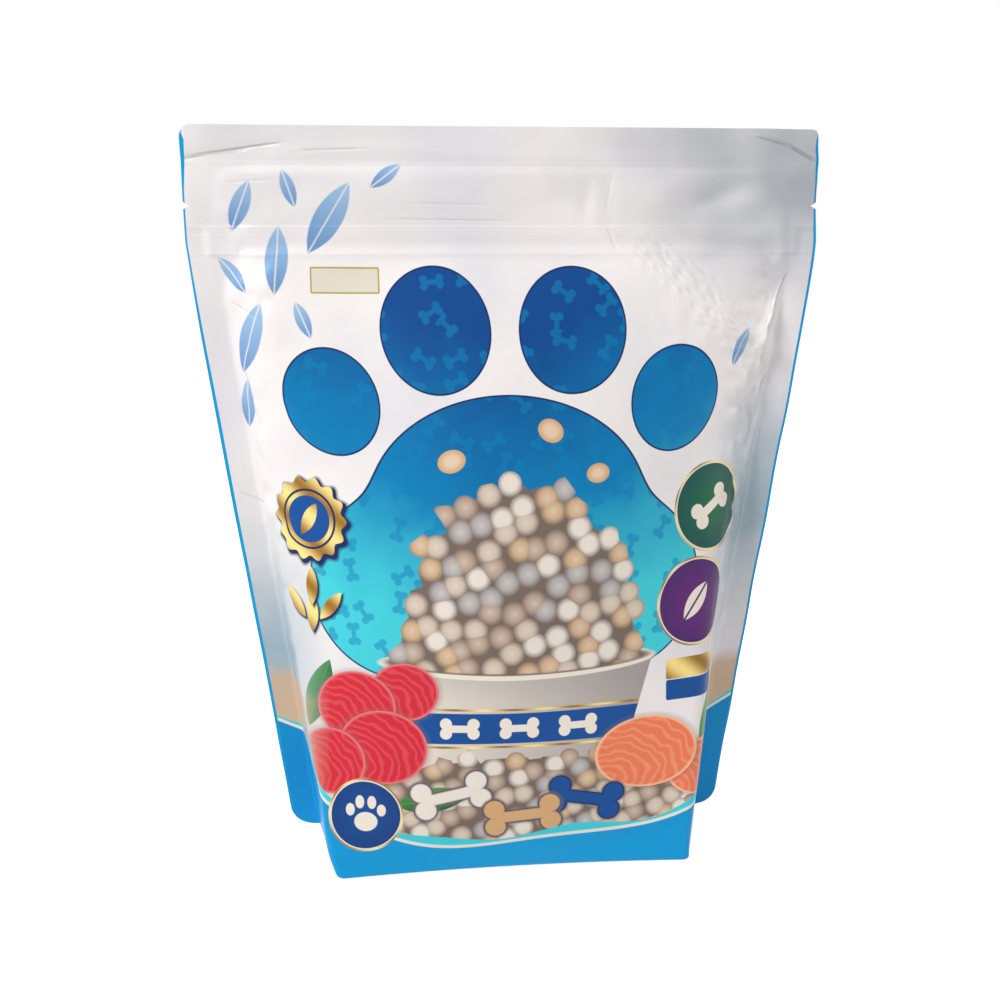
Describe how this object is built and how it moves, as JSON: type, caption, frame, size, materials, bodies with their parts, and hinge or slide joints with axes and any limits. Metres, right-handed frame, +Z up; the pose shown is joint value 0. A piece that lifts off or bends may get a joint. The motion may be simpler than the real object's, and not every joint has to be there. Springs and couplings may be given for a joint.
{
  "type": "pet food bag",
  "caption": "Filled stand-up pouch of dry pet food, with a flat top seal, a zipper band, side fins and a folded bottom gusset that spreads into a flat base.",
  "frame": {"origin": "middle of the base, on the surface that the pouch stands on", "axes": "+Z up to the top seal, +X to the right along the front as seen by someone facing it, +Y from the front to the back"},
  "size_m": [0.27, 0.092, 0.322],
  "materials": {
    "printed_film": "satin printed laminate film, pearl white with blue, turquoise and other colour fields"
  },
  "bodies": {
    "root": {"pouch": "printed_film"}
  },
  "joints": []
}
